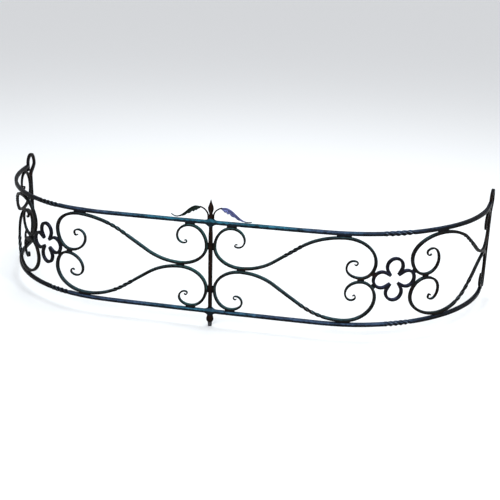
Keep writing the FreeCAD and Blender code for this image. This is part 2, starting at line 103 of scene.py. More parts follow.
# Scrolls: the points (s, rise) where each runs level or upright, from its diagonal in to its eye,
# and the bar's size at them.  A small curl stands beside a post and a big one beside a quatrefoil.
# For the outer scrolls s is counted back from the end post.
SMALL_CURLS = {
    "upper": [(90, 5.7), (12.2, 63.5), (61, 121.8), (99, 88), (80, 67.3), (70.3, 71.2),
              (74.5, 76), (77.5, 73.5)],
    "lower": [(90, 5.7), (12.2, 66), (59, 122.8), (94, 99), (76.5, 80.5), (69, 85.5),
              (74, 91.3), (78, 87.5)],
}
SMALL_BARS = [8.8, 8.8, 7.8, 5.8, 4.4, 3.6, 3.2, 2.8]
BIG_CURLS = {
    "right_inner_upper": [(376, 121.8), (468.5, 50), (430, 5.7), (387.3, 34), (405.8, 56.2),
                          (418.8, 50.5), (413, 43.3), (409.5, 47.5)],
    "right_inner_lower": [(386, 122.8), (471, 53.3), (428, 5.7), (387.5, 39.4), (404.6, 59.8),
                          (416.8, 51.8), (413, 45), (409.5, 49)],
    "left_inner_upper": [(400, 121.8), (487, 61), (440, 5.7), (383.5, 49.7), (405.8, 72),
                         (421.8, 62), (415.5, 53.5), (410, 58)],
    "left_inner_lower": [(393, 122.8), (495, 58), (447, 5.7), (395.4, 47.3), (421.6, 72.8),
                         (440, 64), (432.3, 54.8), (428, 59)],
    "right_outer_upper": [(368, 121.8), (468.5, 58), (420, 5.7), (376, 45), (402.2, 80),
                          (420, 70), (411.4, 60), (406, 65)],
    "right_outer_lower": [(358, 122.8), (467, 56), (420, 5.7), (370, 44.6), (392, 74.5),
                          (404.8, 66.7), (399.7, 58.7), (396, 64)],
    "left_outer_upper": [(366, 121.8), (450, 56), (405, 5.7), (358, 45), (384, 78),
                         (401, 68), (393, 58.5), (388, 63)],
    "left_outer_lower": [(354, 122.8), (456, 56), (410, 5.7), (354, 44.6), (376, 74),
                         (389, 66.5), (384, 58.7), (380, 63)],
}
BIG_BARS = [8.8, 8.8, 8, 6.2, 5.2, 4.2, 3.6, 3]
# bends at the diagonal's two ends, as shares of the largest pair of radii that fits
SWEEP_LOW = 0.40
SWEEP_HIGH = 0.525
# where the one full twist of each diagonal starts and ends
TWISTS = {
    "right_inner_upper": (212, 264),
    "right_inner_lower": (262, 328),
    "left_inner_upper": (250, 314),
    "left_inner_lower": (236, 298),
    "right_outer_upper": (212, 276),
    "right_outer_lower": (206, 286),
    "left_outer_upper": (216, 280),
    "left_outer_lower": (206, 276),
}

# quatrefoils: the middle (s, rise) by side, and the arc of a petal
QUATREFOILS = {-1: (540.0, 5.0), 1: (526.0, 0.0)}
PETAL_RADIUS = 23.5
PETAL_CENTRE = 38.0                # from the quatrefoil's middle to the arc's
PETAL_LAP = math.radians(30)       # how far the arc runs on past a half circle
PETAL_TIP = 10.8                   # from the quatrefoil's middle to the mitred tips
TIP_TRIM = 1.0

# end posts: the foot, the neck, and the points (s beyond the post, z) of the open eye on top
END_DROP = 12.0
NECK = 232.0
LOOP_BACK = (44.5, 268.0)
LOOP_TOP = (12.0, 303.0)
LOOP_FRONT = (-21.0, 279.0)
LOOP_END = 252.0
LOOP_BAR = 9.5

# centre post, with its two slight waists (cut, middle height, reach)
POST_TOP = 23.0                    # above the top rail
KNOB_TOP = -9.4
POST_WAISTS = ((1.5, RAIL_GAP - 20, 10), (0.7, 60, 35))

# leaves, (s, rise above the top rail): the stem's foot and bend, the arch's top, the blade's lowest
# place and the tip of its tail
STEM_FOOT = 7.8
LEAF_BEND = 17.5
LEAF_TOP = (42.0, 45.0)
LEAF_LOW = {-1: (101.0, 10.5), 1: (104.0, 9.8)}
LEAF_TAIL = {-1: (116.5, 17.5), 1: (119.0, 11.5)}
STEM_TAPER = 0.86
LEAF_WIDE = 13.0
LEAF_TEETH = 5.0
BLADE_END = 0.76                   # share of the leaf where its blade ends and the tail starts
BLADE_ROWS = 10                    # points from midrib to edge


def plan(s):
    """Plan x, y and heading of the rail line at s >= 0 (arrays)."""
    first = FRONT_HALF / FRONT_RADIUS
    last = first + CORNER_TURN
    corner_end = FRONT_HALF + CORNER_RADIUS * CORNER_TURN
    x0 = FRONT_RADIUS * math.sin(first)
    y0 = FRONT_RADIUS * (1 - math.cos(first))
    x1 = x0 + CORNER_RADIUS * (math.sin(last) - math.sin(first))
    y1 = y0 + CORNER_RADIUS * (math.cos(first) - math.cos(last))
    angle = np.where(s <= FRONT_HALF, s / FRONT_RADIUS, first + (s - FRONT_HALF) / CORNER_RADIUS)
    angle = np.minimum(angle, last)
    rest = s - corner_end
    x = np.where(s <= FRONT_HALF, FRONT_RADIUS * np.sin(angle),
                 x0 + CORNER_RADIUS * (np.sin(angle) - math.sin(first)))
    y = np.where(s <= FRONT_HALF, FRONT_RADIUS * (1 - np.cos(angle)),
                 y0 + CORNER_RADIUS * (math.cos(first) - np.cos(angle)))
    x = np.where(rest > 0, x1 + rest * math.cos(last), x)
    y = np.where(rest > 0, y1 + rest * math.sin(last), y)
    return x, y, angle


def at(s, z, out):
    """Points of the unrolled layout in metres in the CAD frame (arrays of one shape)."""
    s, z, out = np.broadcast_arrays(np.asarray(s, float), np.asarray(z, float), np.asarray(out, float))
    side = np.where(s < 0, -1.0, 1.0)
    x, y, angle = plan(np.abs(s))
    x = side * (x + out * np.sin(angle))
    y = y - out * np.cos(angle) + PLAN_Y
    return np.stack([x, y, z + BASE_Z], -1) * MM


def from_post(s, side, outer):
    """Layout s of a place counted from the centre post, or back from the end post when outer."""
    return side * (HALF_LENGTH - s if outer else s)


# ---------------------------------------------------------------- meshes
def place(name, shape, material, slot, *nodes):
    """Shape (verts, faces, marks) as a piece on the one body, standing for its CAD nodes.

    Marks are each point's wear, which also drives painted glints and painted shade on twists, and how far it
    lies on the lit side, where the painted reflection shows; the materials read them.
    """
    verts, faces, marks = shape
    mesh = bpy.data.meshes.new(name)
    mesh.from_pydata([tuple(v) for v in verts], [], faces)
    mesh.polygons.foreach_set("use_smooth", [True] * len(mesh.polygons))
    for column, word in enumerate(("wear_and_glint", "lit_side")):
        layer = mesh.attributes.new(word, "FLOAT", "POINT")
        layer.data.foreach_set("value", np.ascontiguousarray(marks[:, column]))
    mesh.materials.append(material)
    mesh.validate()
    mesh.update()
    piece = bpy.data.objects.new(name, mesh)
    bpy.context.scene.collection.objects.link(piece)
    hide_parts(*nodes)
    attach(piece, "root")


def joined(parts):
    """Several shapes as one."""
    verts = []
    faces = []
    marks = []
    count = 0
    for v, f, m in parts:
        verts.append(v)
        marks.append(m)
        faces += [[i + count for i in face] for face in f]
        count += len(v)
    return np.concatenate(verts), faces, np.concatenate(marks)


def loft(rings, wear_and_glint, lit_side):
    """Closed tube through rings (n, m, 3), its ends closed by fans."""
    n, m, _ = rings.shape
    verts = np.concatenate([rings.reshape(-1, 3), rings[0].mean(0)[None], rings[-1].mean(0)[None]])
    marks = np.stack([wear_and_glint, lit_side], -1)
    marks = np.concatenate([marks.reshape(-1, 2), marks[0].mean(0)[None], marks[-1].mean(0)[None]])
    i = np.arange(n - 1)[:, None] * m
    j = np.arange(m)[None, :]
    k = (j + 1) % m
    quads = np.stack([i + j, i + k, i + m + k, i + m + j], -1).reshape(-1, 4)
    normal = np.cross(rings[0, 1] - rings[0, 0], rings[1, 0] - rings[0, 0])
    inside_out = np.dot(normal, rings[0, 0] - rings[0].mean(0)) < 0
    if inside_out:
        quads = quads[:, ::-1]
    faces = quads.tolist()
    for ring, hub, flip in ((0, n * m, False), (n - 1, n * m + 1, True)):
        for c in range(m):
            tri = [ring * m + (c + 1) % m, ring * m + c, hub]
            faces.append(tri[::-1] if flip != inside_out else tri)
    return verts, faces, marks


# ---------------------------------------------------------------- forged bars
SECTION_STEP = 2.2
END_ROWS = (0.35, 0.9, 1.6)        # extra sections near a bar's ends
END_FADE = 25.0                    # the wobble dies away over this length at each end
FLANK_WEAR = 0.35                  # wear beside a corner, where the corner itself has 1
STRIKE_STEPS = (8, 17)             # shortest and longest spacing of the hammer strikes
STRIKE_SPREAD = 0.62               # a strike's half width as a share of its spacing
LIGHT_STRIKE = 0.25                # the lightest strike as a share of the deepest
RIPPLE = (0.10, 5)                 # fine unevenness of a face: share of the hammering, wave length
THINNING = (0.014, 40)             # change of the bar's size: share of it, wave length
WOBBLE_WAVES = (70, 90)            # in the bar's plane, and in and out
CORNER_WEAR = (0.5, 0.4, 14)       # mean, swing, wave length
FAST_TWIST = 0.05                  # radians per millimetre at which a twist gets its full painted glint and shade
TWIST_GLINT_SHADE = (1.3, 0.45)           # strength, and the wear above which a point gets painted glint, below which painted shade
DENT_SHARES = (1.0, 0.8, 0.6)      # of a strike's depth at a face's middle, its flanks and its corners
NOSE = (0.55, 0.93)                # a rounded end: length in thinnest sides, and how far it closes
CUT_CLOSING = 0.30                 # how far a cut end closes
LIT_FROM = (0.50, 0.86)            # direction (s, z) towards the painted light: the side of each bar that counts as lit and gets the painted reflection


def unit_ring(corner):
    """Square of half size 1 with rounded corners: points, their two faces, and their wear."""
    points = []
    for k in range(4):
        c = math.cos(k * math.pi / 2)
        d = math.sin(k * math.pi / 2)
        for tangent, wear_and_glint in ((-(1 - corner), FLANK_WEAR), (0.0, 0.0), (1 - corner, FLANK_WEAR)):
            points.append((c - tangent * d, d + tangent * c, k, k, wear_and_glint))
        reach = (1 - corner) + corner * math.sqrt(0.5)
        points.append((reach * c - reach * d, reach * d + reach * c, k, (k + 1) % 4, 1.0))
    return points


def strikes(length, rng, depth):
    """Hammer strikes along one face of a bar: (place, half width, depth)."""
    low, high = STRIKE_STEPS
    rows = []
    spot = -rng.uniform(0, high)
    while spot < length + high:
        step = rng.uniform(low, high)
        rows.append((spot + step / 2, step * STRIKE_SPREAD, depth * rng.uniform(LIGHT_STRIKE, 1.0)))
        spot += step
    return np.array(rows)


def dents(along, rows):
    """Depth of the hammered face at each place along the bar."""
    x = (along[:, None] - rows[None, :, 0]) / rows[None, :, 1]
    return (rows[None, :, 2] * np.clip(1 - x * x, 0, None)).max(1)


def slow_noise(along, rng, wave):
    """Smooth random line between -1 and 1."""
    knots = int(along[-1] / wave) + 4
    values = rng.uniform(-1, 1, knots)
    x = along / wave + 1
    i = np.clip(x.astype(int), 0, knots - 2)
    t = x - i
    t = t * t * (3 - 2 * t)
    return values[i] * (1 - t) + values[i + 1] * t


def resample(path):
    """Path rows (s, z, ds, dz, tall, deep, twist) at even steps along their length."""
    path = np.asarray(path, float)
    gaps = np.hypot(np.diff(path[:, 0]), np.diff(path[:, 1]))
    keep = np.concatenate([[True], gaps > 1e-6])
    path = path[keep]
    gaps = np.hypot(np.diff(path[:, 0]), np.diff(path[:, 1]))
    along = np.concatenate([[0.0], np.cumsum(gaps)])
    count = max(2, int(math.ceil(along[-1] / SECTION_STEP)))
    places = np.linspace(0, along[-1], count + 1)
    places = np.unique(np.concatenate([places, END_ROWS, [along[-1] - e for e in END_ROWS]]))
    columns = [np.interp(places, along, path[:, i]) for i in range(path.shape[1])]
    return places, np.stack(columns, 1)


def bar(path, seed, corner=0.17, hammer=0.32, wobble=0.22, blunt=1.0, round_ends=False):
    """Forged bar along a path: square section, hammered faces, slight wobble, worn round corners.

    Blunt is the length over which a cut end is eased; round_ends tapers the ends to a nose instead.
    """
    rng = np.random.default_rng(seed)
    along, rows = resample(path)
    s, z, ds, dz, tall, deep, twist = rows.T
    size = np.hypot(ds, dz)
    nx = -dz / size
    nz = ds / size
    length = along[-1]
    ring = unit_ring(corner)
    faces = [dents(along, strikes(length, rng, hammer)) for _ in range(4)]
    faces = [f + RIPPLE[0] * hammer * slow_noise(along, rng, RIPPLE[1]) for f in faces]
    scale = 1 - THINNING[0] * (1 + slow_noise(along, rng, THINNING[1]))
    drift_n, drift_o = [wobble * slow_noise(along, rng, wave) for wave in WOBBLE_WAVES]
    to_end = np.minimum(along, length - along)
    fade = np.clip(to_end / END_FADE, 0, 1)
    reach, closing = (tall.min() * NOSE[0], NOSE[1]) if round_ends else (blunt, CUT_CLOSING)
    x = np.clip(1 - to_end / reach, 0, 1)
    end_scale = np.sqrt(np.clip(1 - x * x * closing, 0, 1))
    rings = np.zeros((len(along), len(ring), 3))
    wear_and_glint = np.zeros((len(along), len(ring)))
    lit_side = np.zeros((len(along), len(ring)))
    c = np.cos(twist)
    d = np.sin(twist)
    twist_glint_share = np.clip(np.abs(np.gradient(twist, along)) / FAST_TWIST, 0, 1)
    mean, swing, wave = CORNER_WEAR
    strength, level = TWIST_GLINT_SHADE
    for i, (u, v, f, g, w) in enumerate(ring):
        pu = u * (tall / 2) * scale * end_scale
        pv = v * (deep / 2) * scale * end_scale
        if f == g:
            dent = faces[f] * DENT_SHARES[0 if w == 0 else 1]
            face_angle = f * math.pi / 2
            pu = pu - dent * math.cos(face_angle)
            pv = pv - dent * math.sin(face_angle)
        else:
            dent = (faces[f] + faces[g]) / 2
            pu = pu - np.sign(u) * dent * DENT_SHARES[2]
            pv = pv - np.sign(v) * dent * DENT_SHARES[2]
        qu = pu * c - pv * d + drift_n * fade
        qv = pu * d + pv * c + drift_o * fade
        rings[:, i] = at(s + qu * nx, z + qu * nz, qv)
        # corner wear, plus painted glints on the twists' corners and painted shade on their faces
        wear_and_glint[:, i] = w * (mean + swing * slow_noise(along, rng, wave)) + strength * (w - level) * twist_glint_share
        # painted light: how far each point lies on the lit side, where the painted reflection shows; thin
        # tails get less
        lit_side[:, i] = qu * (LIT_FROM[0] * nx + LIT_FROM[1] * nz) / (tall / 2)
        lit_side[:, i] *= np.minimum(1, tall / np.median(tall)) ** 1.5
    return loft(rings, wear_and_glint, lit_side)


# ---------------------------------------------------------------- paths
def quarter(a, b, level_first, count=40):
    """Quarter ellipse from a to b: rows (s, rise, ds, dr)."""
    dx = b[0] - a[0]
    dz = b[1] - a[1]
    t = np.linspace(0, math.pi / 2, count + 1)
    sin, cos = np.sin(t), np.cos(t)
    if level_first:
        return np.stack([a[0] + dx * sin, a[1] + dz * (1 - cos), dx * cos, dz * sin], 1)
    return np.stack([a[0] + dx * (1 - cos), a[1] + dz * sin, dx * sin, dz * cos], 1)


def unit(rows):
    """The direction columns made unit length."""
    size = np.hypot(rows[:, 2], rows[:, 3])
    rows[:, 2] /= size
    rows[:, 3] /= size
    return rows


def curl(points, bars):
    """Quarter ellipses chained through the points, with the bar size as a fifth column."""
    rows = []
    for i in range(len(points) - 1):
        piece = unit(quarter(points[i], points[i + 1], i % 2 == 0))
        sizes = np.linspace(bars[i], bars[i + 1], len(piece))
        rows.append(np.column_stack([piece, sizes])[1 if i else 0:])
    return np.concatenate(rows)


def sweep_rows(low, high, count=160):
    """A scroll's diagonal from its waist point to its rail point: bend, straight, bend."""
    dx = high[0] - low[0]
    dz = high[1] - low[1]
    largest = (dx * dx + dz * dz) / (2 * dz)
    first = SWEEP_LOW * largest
    second = SWEEP_HIGH * largest
    both = first + second
    angle = math.asin(both / math.hypot(dx, both - dz)) - math.atan2(both - dz, dx)
    rows = []
    for s in np.linspace(low[0], high[0], count):
        if s < low[0] + first * math.sin(angle):
            a = math.asin((s - low[0]) / first)
            r = low[1] + first * (1 - math.cos(a))
        elif s > high[0] - second * math.sin(angle):
            a = math.asin((high[0] - s) / second)
            r = high[1] - second * (1 - math.cos(a))
        else:
            a = angle
            run = s - low[0] - first * math.sin(angle)
            r = low[1] + first * (1 - math.cos(angle)) + run * math.tan(angle)
        rows.append((s, r, math.cos(a), math.sin(a), SCROLL))
    return np.array(rows)


def scroll_path(name, side, outer, upper):
    """Rows for bar(): one S scroll from its small eye to its big eye."""
    small_points = SMALL_CURLS["upper" if upper else "lower"]
    big_points = BIG_CURLS[name]
    low, high = TWISTS[name]
    small = curl(small_points, SMALL_BARS)[::-1].copy()
    small[:, 2:4] *= -1
    sweep = sweep_rows(small_points[0], big_points[0])
    big = curl(big_points, BIG_BARS)
    rows = np.concatenate([small[:-1], sweep, big[1:]])
    turns = np.concatenate([np.zeros(len(small) - 1), np.clip((sweep[:, 0] - low) / (high - low), 0, 1),
                            np.ones(len(big) - 1)])
    s, r, ds, dr, size = rows.T
    along = -side if outer else side
    up = 1 if upper else -1
    return np.stack([from_post(s, side, outer), MID + up * r, along * ds, up * dr, size,
                     (SCROLL + size) / 2, 2 * math.pi * turns], 1)


def rail_path(z, end, accents):
    """Rows for bar(): a rail with its twisted accents and the eye at the centre."""
    s = np.concatenate([np.arange(-end, end, RAIL_STEP), [end]])
    bump = np.cos(np.clip(np.abs(s) / EYE_HALF, 0, 1) * math.pi / 2) ** 2
    tall = RAIL + EYE_TALLER * bump
    deep = RAIL + EYE_DEEPER * bump
    twist = np.zeros_like(s)
    for side, (middle, half) in accents.items():
        share = np.clip((s - side * middle + half) / (2 * half), 0, 1)
        twist += share * ACCENT_QUARTERS * math.pi / 2
        swell = 1 + ACCENT_SWELL * np.sin(math.pi * share)
        tall = tall * swell
        deep = deep * swell
    return np.stack([s, np.full_like(s, z), np.ones_like(s), np.zeros_like(s), tall, deep, twist], 1)


def post_path():
    """Rows for bar(): the centre post, drawn in a little at its waists."""
    z = np.linspace(KNOB_TOP, RAIL_GAP + POST_TOP, 240)
    size = RAIL - sum(cut * np.exp(-((z - middle) / reach) ** 2) for cut, middle, reach in POST_WAISTS)
    zero = np.zeros_like(z)
    return np.stack([zero, z, zero, zero + 1, size, size, zero], 1)


def end_post_path(side):
    """Rows for bar(): the end post, its neck, the loop and the leg that takes the top rail."""
    z = np.linspace(-END_DROP, NECK, 120)
    zero = np.zeros_like(z)
    rows = [np.stack([zero, z, zero, zero + 1, zero + RAIL], 1)]
    q = np.linspace(0, 1, 60)
    s = LOOP_BACK[0] * (1 - np.cos(math.pi * q)) / 2
    slope = LOOP_BACK[0] * math.pi * np.sin(math.pi * q) / 2
    rise = LOOP_BACK[1] - NECK
    neck = unit(np.stack([s, NECK + rise * q, slope, np.full_like(q, rise)], 1))
    rows.append(np.column_stack([neck, RAIL + (LOOP_BAR - RAIL) * q])[1:])
    for a, b, level in ((LOOP_BACK, LOOP_TOP, False), (LOOP_TOP, LOOP_FRONT, True)):
        piece = unit(quarter(a, b, level))
        rows.append(np.column_stack([piece, np.full(len(piece), LOOP_BAR)])[1:])
    z = np.linspace(LOOP_FRONT[1], LOOP_END, 20)[1:]
    zero = np.zeros_like(z)
    rows.append(np.stack([zero + LOOP_FRONT[0], z, zero, zero - 1, zero + LOOP_BAR], 1))
    s, z, ds, dz, size = np.concatenate(rows).T
    return np.stack([side * (HALF_LENGTH + s), z, side * ds, dz, size, size, 0 * s], 1)


def petal_path(side, turns):
    """Rows for bar(): one C-shaped petal, its tips trimmed where it meets its neighbours."""
    middle, rise = QUATREFOILS[side]
    angle = np.linspace(math.pi + PETAL_LAP, -PETAL_LAP, 90)
    arc = np.stack([PETAL_RADIUS * np.cos(angle), PETAL_CENTRE + PETAL_RADIUS * np.sin(angle),
                    np.sin(angle), -np.cos(angle)], 1)
    last = arc[-1]
    reach = (last[1] - PETAL_TIP - TIP_TRIM) / -last[3]
    leg = np.array([[last[0] + t * last[2], last[1] + t * last[3], last[2], last[3]]
                    for t in np.linspace(0, reach, 12)[1:]])
    start = leg[::-1] * np.array([-1, 1, 1, -1])
    u, w, du, dw = np.concatenate([start, arc, leg]).T
    c = round(math.cos(turns * math.pi / 2))
    d = round(math.sin(turns * math.pi / 2))
    s = side * middle + side * (u * c + w * d)
    z = MID + rise + w * c - u * d
    size = np.full(len(u), PETAL)
    return np.stack([s, z, side * (du * c + dw * d), dw * c - du * d, size, size, 0 * u], 1)


def leaf_rows(side, count):
    """Midrib of a leaf beyond its stem: s, rise above the top rail, direction, share."""
    base = (RAIL / 2 + STEM / 2, LEAF_BEND)
    start = quarter(base, LEAF_TOP, False, 12)[9]
    foot = LEAF_LOW[side]
    tip = LEAF_TAIL[side]
    share = np.linspace(0, 1, count)
    s = start[0] + (tip[0] - start[0]) * share
    t = np.arccos(np.clip(1 - (s - base[0]) / (LEAF_TOP[0] - base[0]), -1, 1))
    q = (s - LEAF_TOP[0]) / (foot[0] - LEAF_TOP[0])
    tail = (s - foot[0]) / (tip[0] - foot[0])
    arch = base[1] + (LEAF_TOP[1] - base[1]) * np.sin(t)
    fall = LEAF_TOP[1] + (foot[1] - LEAF_TOP[1]) * (1 - np.cos(math.pi * q)) / 2
    flick = foot[1] + (tip[1] - foot[1]) * tail * tail
    rise = np.where(s < LEAF_TOP[0], arch, np.where(s < foot[0], fall, flick))
    ds = np.gradient(s)
    dr = np.gradient(rise)
    size = np.hypot(ds, dr)
    return s, rise, ds / size, dr / size, share


def stem_path(side):
    """Rows for bar(): the thin stem against the post, arching outwards."""
    x = RAIL / 2 + STEM / 2
    z = np.linspace(STEM_FOOT, LEAF_BEND, 8)
    zero = np.zeros_like(z)
    low = np.stack([zero + x, z, zero, zero + 1], 1)
    arch = unit(quarter((x, LEAF_BEND), LEAF_TOP, False, 48)[:40])
    rows = np.concatenate([low, arch[1:]])
    s, r, ds, dr = rows.T
    size = np.interp(np.arange(len(s)), [0, len(s) - 1], [STEM, STEM * STEM_TAPER])
    return np.stack([side * s, RAIL_GAP + r, side * ds, dr, size, size, 0 * s], 1)


# ---------------------------------------------------------------- leaves, round pieces, welds
ROUND_POINTS = 40
FACETS = 36                        # hammered facets at random places on a round piece


def leaf_mesh(side, seed):
    """Folded acanthus-like blade with swept teeth, creased lobes, a raised midrib and a wire tail."""
    rng = np.random.default_rng(seed)
    s, rise, ds, dr, share = leaf_rows(side, 230)
    b = np.linspace(-1, 1, 2 * BLADE_ROWS + 1)
    x = np.clip(share / BLADE_END, 0, 1)
    width = np.where(share < BLADE_END, LEAF_WIDE * np.sin(math.pi * x ** 0.62) ** 1.1, 0.0)
    broad = np.clip(width / 8, 0, 1)
    top = np.zeros((len(s), len(b), 2))
    for j, across in enumerate(b):
        a = abs(across)
        # teeth swept back towards the edge, on two halves that fold down from the midrib
        phase = (x * LEAF_TEETH - 0.30 * a) % 1.0
        tooth = 0.70 + 0.30 * np.sin(math.pi * np.clip(phase, 0, 1) ** 1.5) ** 0.7
        w = 1.1 + width * (1 + (tooth - 1) * a ** 1.5) * a
        w = np.where(a == 0, 0.0, w * a ** 0.15)
        droop = math.radians(40) + math.radians(26) * a ** 2
        # each lobe crowned between creases, and slightly uneven
        crease = 0.75 * np.sin(math.pi * phase) ** 2 * a * (1 - 0.35 * a) * broad
        crease += 0.18 * slow_noise(share * 100, rng, 9) * broad
        midrib = 0.9 * math.exp(-(a / 0.10) ** 2)
        top[:, j, 0] = np.sign(across) * (w * math.cos(droop) + crease * math.sin(droop))
        top[:, j, 1] = -w * math.sin(droop) + crease * math.cos(droop) + midrib
    # underside, thickest along the midrib
    thick = np.interp(share, [0, BLADE_END, 1], [1.5, 1.9, 1.5])
    under = top[:, ::-1].copy()
    under[:, :, 1] -= thick[:, None] * (0.7 + 0.8 * np.exp(-(b[::-1] / 0.2) ** 2))[None, :]
    section = np.concatenate([top, under], 1)
    tip = np.sqrt(np.clip((1.0 - share) / 0.02, 0.02, 1))
    section = section * tip[:, None, None]
    o = section[:, :, 0]
    n = section[:, :, 1]
    rings = at(side * (s[:, None] - n * dr[:, None]), RAIL_GAP + rise[:, None] + n * ds[:, None], o)
    around = np.concatenate([b, b[::-1]])
    edge = np.abs(around) ** 6
    rib = np.exp(-(around / 0.09) ** 2)
    # painted light: the edges' and midrib's wear also drives painted glints, and the blade gets the painted
    # reflection, the tail none
    wear_and_glint = np.broadcast_to(np.maximum(edge, 0.8 * rib), o.shape).copy()
    lit_side = np.interp(share, [0, 0.62, 0.88], [1.0, 1.0, -0.2])
    return loft(rings, wear_and_glint, lit_side[:, None] * np.ones_like(wear_and_glint))


def smooth_profile(points, count=7):
    """Catmull-Rom curve through (radius, height) points."""
    p = np.array([points[0]] + list(points) + [points[-1]], float)
    out = []
    for i in range(1, len(p) - 2):
        for t in np.linspace(0, 1, count, endpoint=False):
            a, b, c, d = p[i - 1:i + 3]
            out.append(0.5 * (2 * b + (c - a) * t + (2 * a - 5 * b + 4 * c - d) * t * t
                              + (3 * b - a - 3 * c + d) * t ** 3))
    out.append(p[-2])
    return np.array(out)


def turned(profile, floor, seed, hammer=0.15, lobes=0, depth=0.0, spiral=0.0):
    """Round forged piece on the post's axis, its heights above floor; lobes cut spiral grooves in it."""
    around = ROUND_POINTS
    rng = np.random.default_rng(seed)
    rows = smooth_profile(profile)
    angle = np.linspace(0, 2 * math.pi, around, endpoint=False)
    r = rows[:, 0][:, None]
    z = rows[:, 1][:, None] + np.zeros((1, around))
    share = (rows[:, 1] - rows[0, 1]) / (rows[-1, 1] - rows[0, 1])
    groove = np.zeros((len(rows), around))
    wear_and_glint = np.zeros((len(rows), around))
    if lobes:
        phase = lobes / 2 * (angle[None, :] + spiral * share[:, None])
        cut = np.abs(np.cos(phase)) ** 0.6
        envelope = np.sin(math.pi * np.clip(share, 0.02, 0.98)) ** 0.5
        groove = depth * (1 - cut) * envelope[:, None]
        wear_and_glint = np.clip(cut * 1.4 - 0.9, 0, 1) * envelope[:, None]
    facets = np.zeros((len(rows), around))
    for _ in range(FACETS):
        a0 = rng.uniform(0, 2 * math.pi)
        t0 = rng.uniform(0, 1)
        gap = (np.cos(angle[None, :] - a0) - 1) * 6 - ((share[:, None] - t0) * 4) ** 2
        facets = np.maximum(facets, hammer * rng.uniform(0.3, 1) * np.exp(gap * 1.5))
    radius = np.maximum(r * (1 - groove) - facets, 0.15)
    x = radius * np.cos(angle)[None, :]
    y = radius * np.sin(angle)[None, :] + PLAN_Y
    rings = np.stack([x, y, z + floor + BASE_Z], -1) * MM
    # the ridges' wear also drives painted glints, and the whole piece counts as lit for the painted
    # reflection
    return loft(rings, wear_and_glint, np.ones_like(wear_and_glint))


# runs of weld beads: (length, depth, bite into the bars)
SMALL_RAIL_RUN = (30, 8.2, 1.3)
BIG_RAIL_RUN = (42, 8.2, 1.3)
POST_RUN = (22, 7.4, 0.9)
PETAL_RUN = (15, 7.6, 1.6)
WAIST_RUN = (25, 7.8, 1.9)
CURL_RUN = (20, 7.8, 1.9)
SMALL_BEND = 42.0                  # radius of a small curl where it touches its rail
BIG_BEND = 115.0
BEAD_PITCH = 2.7
BEAD_POINTS = 14


def weld(s, z, tilt, gap, run, seed, bend=0):
    """Run of weld beads filling the gap between two bars; bend is how the far bar curves away."""
    long, deep, bite = run
    rng = np.random.default_rng(seed)
    count = max(14, int(long / 0.8))
    t = np.linspace(-1, 1, count)
    along = t * long / 2
    ripple = 0.28 * np.abs(np.sin(math.pi * along / BEAD_PITCH + rng.uniform(0, 3)))
    ripple = ripple + 0.25 * slow_noise(along - along[0], rng, 3)
    spread = along * along / (4 * bend) if bend else 0 * along
    tall = gap / 2 + bite + np.abs(spread) + ripple
    wide = deep / 2 + 0.6 * ripple
    end = np.sqrt(np.clip(1 - np.abs(t) ** 6, 0.04, 1))
    angle = np.linspace(0, 2 * math.pi, BEAD_POINTS, endpoint=False)
    shape_c = np.sign(np.cos(angle)) * np.abs(np.cos(angle)) ** 0.6
    shape_s = np.sign(np.sin(angle)) * np.abs(np.sin(angle)) ** 0.6
    lumps = 1 + 0.05 * rng.uniform(-1, 1, (count, BEAD_POINTS))
    n = (tall * end)[:, None] * shape_c[None, :] * lumps - spread[:, None]
    o = (wide * end)[:, None] * shape_s[None, :] * lumps
    c = math.cos(tilt)
    d = math.sin(tilt)
    ss = s + along[:, None] * c - n * d
    zz = z + along[:, None] * d + n * c
    flat = np.zeros((count, BEAD_POINTS))
    return loft(at(ss, zz, o), flat + 0.1, flat)


def petal_gap(points, lobe):
    """Place, lean and width of the gap between a big curl and the petal arc about the lobe point."""
    turn = np.concatenate([
        np.column_stack([quarter(points[0], points[1], True), np.linspace(*BIG_BARS[0:2], 41)]),
        np.column_stack([quarter(points[1], points[2], False), np.linspace(*BIG_BARS[1:3], 41)])])
    away = np.hypot(turn[:, 0] - lobe[0], turn[:, 1] - lobe[1])
    widths = away - PETAL_RADIUS - PETAL / 2 - turn[:, 4] / 2
    i = int(np.argmin(widths))
    lean = math.atan2(turn[i, 1] - lobe[1], turn[i, 0] - lobe[0])
    reach = PETAL_RADIUS + PETAL / 2 + widths[i] / 2
    return lobe[0] + reach * math.cos(lean), lobe[1] + reach * math.sin(lean), lean, widths[i]


